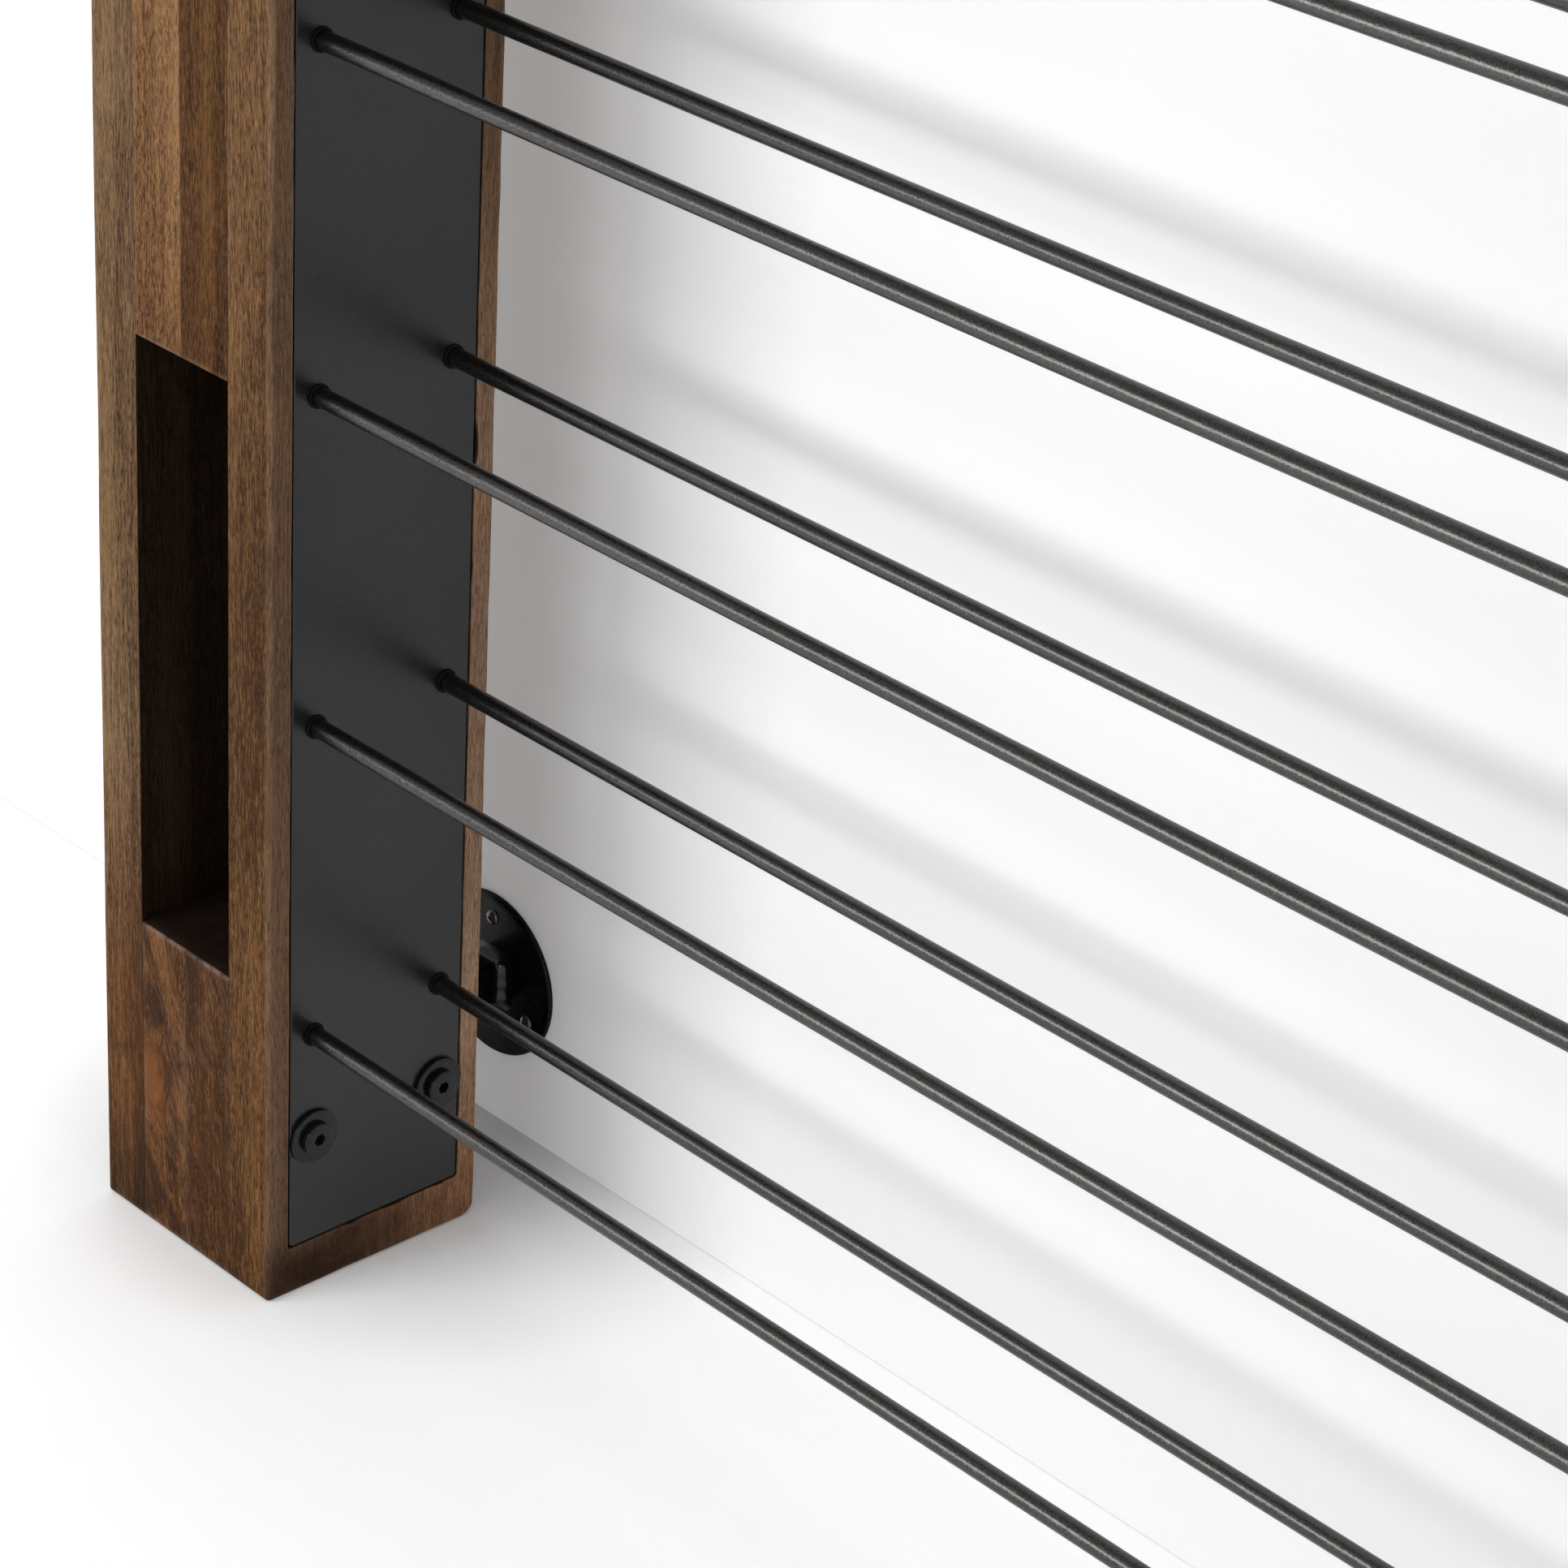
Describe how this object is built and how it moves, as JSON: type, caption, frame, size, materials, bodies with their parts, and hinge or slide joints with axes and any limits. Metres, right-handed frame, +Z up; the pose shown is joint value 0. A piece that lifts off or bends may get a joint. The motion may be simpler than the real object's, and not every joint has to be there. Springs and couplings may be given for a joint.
{
  "type": "wall-anchored rod rack",
  "caption": "Floor-standing rack of laminated hardwood posts with inlaid steel side plates, pairs of steel rods as bottle cradles, and flanged standoffs to the wall.",
  "frame": {"origin": "on the floor, midway between the posts and midway between the posts' front and the wall", "axes": "+X along the rods, +Y towards the wall, +Z up"},
  "size_m": [1.23, 0.1736, 1.002],
  "materials": {
    "stained_hardwood": "satin stain",
    "black_steel_plate": "satin black",
    "gunmetal_steel": "dark satin lacquer",
    "black_rubber": "matt",
    "blackened_steel": "black oxide",
    "plain_steel": "zinc plated",
    "black_enamel": "gloss black"
  },
  "bodies": {
    "root": {"left_outer_board": "stained_hardwood", "left_inner_board": "stained_hardwood", "left_back_board": "stained_hardwood", "left_core_block_1": "stained_hardwood", "left_core_block_2": "stained_hardwood", "left_core_block_3": "stained_hardwood", "left_side_plate": "black_steel_plate", "left_rod_collars": "black_rubber", "left_lower_wall_flange": "black_enamel", "left_lower_standoff_tube": "black_enamel", "left_upper_wall_flange": "black_enamel", "left_upper_standoff_tube": "black_enamel", "right_outer_board": "stained_hardwood", "right_inner_board": "stained_hardwood", "right_back_board": "stained_hardwood", "right_core_block_1": "stained_hardwood", "right_core_block_2": "stained_hardwood", "right_core_block_3": "stained_hardwood", "right_side_plate": "black_steel_plate", "right_rod_collars": "black_rubber", "right_lower_wall_flange": "black_enamel", "right_lower_standoff_tube": "black_enamel", "right_upper_wall_flange": "black_enamel", "right_upper_standoff_tube": "black_enamel", "front_rod_01": "gunmetal_steel", "front_rod_02": "gunmetal_steel", "front_rod_03": "gunmetal_steel", "front_rod_04": "gunmetal_steel", "front_rod_05": "gunmetal_steel", "front_rod_06": "gunmetal_steel", "rear_rod_01": "gunmetal_steel", "rear_rod_02": "gunmetal_steel", "rear_rod_03": "gunmetal_steel", "rear_rod_04": "gunmetal_steel", "rear_rod_05": "gunmetal_steel", "rear_rod_06": "gunmetal_steel", "plate_washers": "blackened_steel", "plate_screws": "blackened_steel", "threaded_inserts": "plain_steel"}
  },
  "joints": []
}
